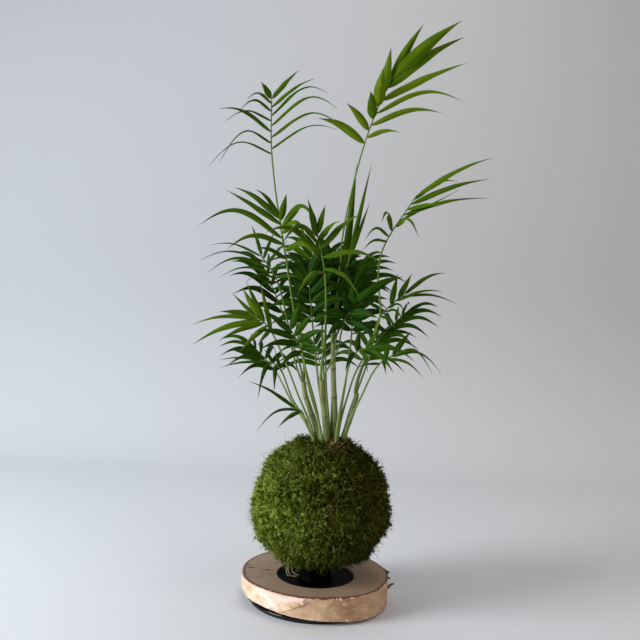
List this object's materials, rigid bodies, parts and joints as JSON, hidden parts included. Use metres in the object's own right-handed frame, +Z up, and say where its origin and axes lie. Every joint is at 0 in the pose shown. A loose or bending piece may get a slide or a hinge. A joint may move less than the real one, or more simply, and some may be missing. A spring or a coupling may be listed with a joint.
{
  "type": "kokedama house plant",
  "caption": "Moss-wrapped soil ball with a clump of feathery palm fronds, resting on a black dish let into a round birch slice over a black base plate.",
  "frame": {"origin": "centre of the base plate's underside, where the object rests", "axes": "+Z up, out of the top of the plant; -Y is the front; +X to the right as seen from the front"},
  "size_m": [0.2838, 0.1991, 0.5793],
  "materials": {
    "black_lacquer": "satin black",
    "birch_wood": "sanded face, papery bark edge",
    "dark_soil": "damp crumbly soil",
    "green_moss": "fluffy living moss",
    "brown_roots": "dry fibrous roots",
    "pale_cane": "smooth living stem",
    "palm_leaf": "thin satin leaf"
  },
  "bodies": {
    "root": {"base_plate": "black_lacquer", "birch_slice": "birch_wood", "cane_back": "pale_cane", "cane_front": "pale_cane", "cane_left": "pale_cane", "cane_right": "pale_cane", "drip_dish": "black_lacquer", "frond_back_left": "palm_leaf", "frond_back_left_low": "palm_leaf", "frond_back_low": "palm_leaf", "frond_back_mid": "palm_leaf", "frond_back_right": "palm_leaf", "frond_back_right_low": "palm_leaf", "frond_back_tall": "palm_leaf", "frond_dark_centre": "palm_leaf", "frond_front_centre": "palm_leaf", "frond_front_left": "palm_leaf", "frond_front_right": "palm_leaf", "frond_left_bright": "palm_leaf", "frond_left_fine": "palm_leaf", "frond_left_low": "palm_leaf", "frond_lowest_left": "palm_leaf", "frond_mid_centre": "palm_leaf", "frond_mid_left": "palm_leaf", "frond_mid_right": "palm_leaf", "frond_right": "palm_leaf", "frond_right_back": "palm_leaf", "frond_right_low": "palm_leaf", "frond_right_mid": "palm_leaf", "frond_spear": "palm_leaf", "frond_tall_left": "palm_leaf", "frond_tall_right": "palm_leaf", "frond_upper_left": "palm_leaf", "moss_cover": "green_moss", "root_mat": "brown_roots", "soil_ball": "dark_soil"}
  },
  "joints": []
}
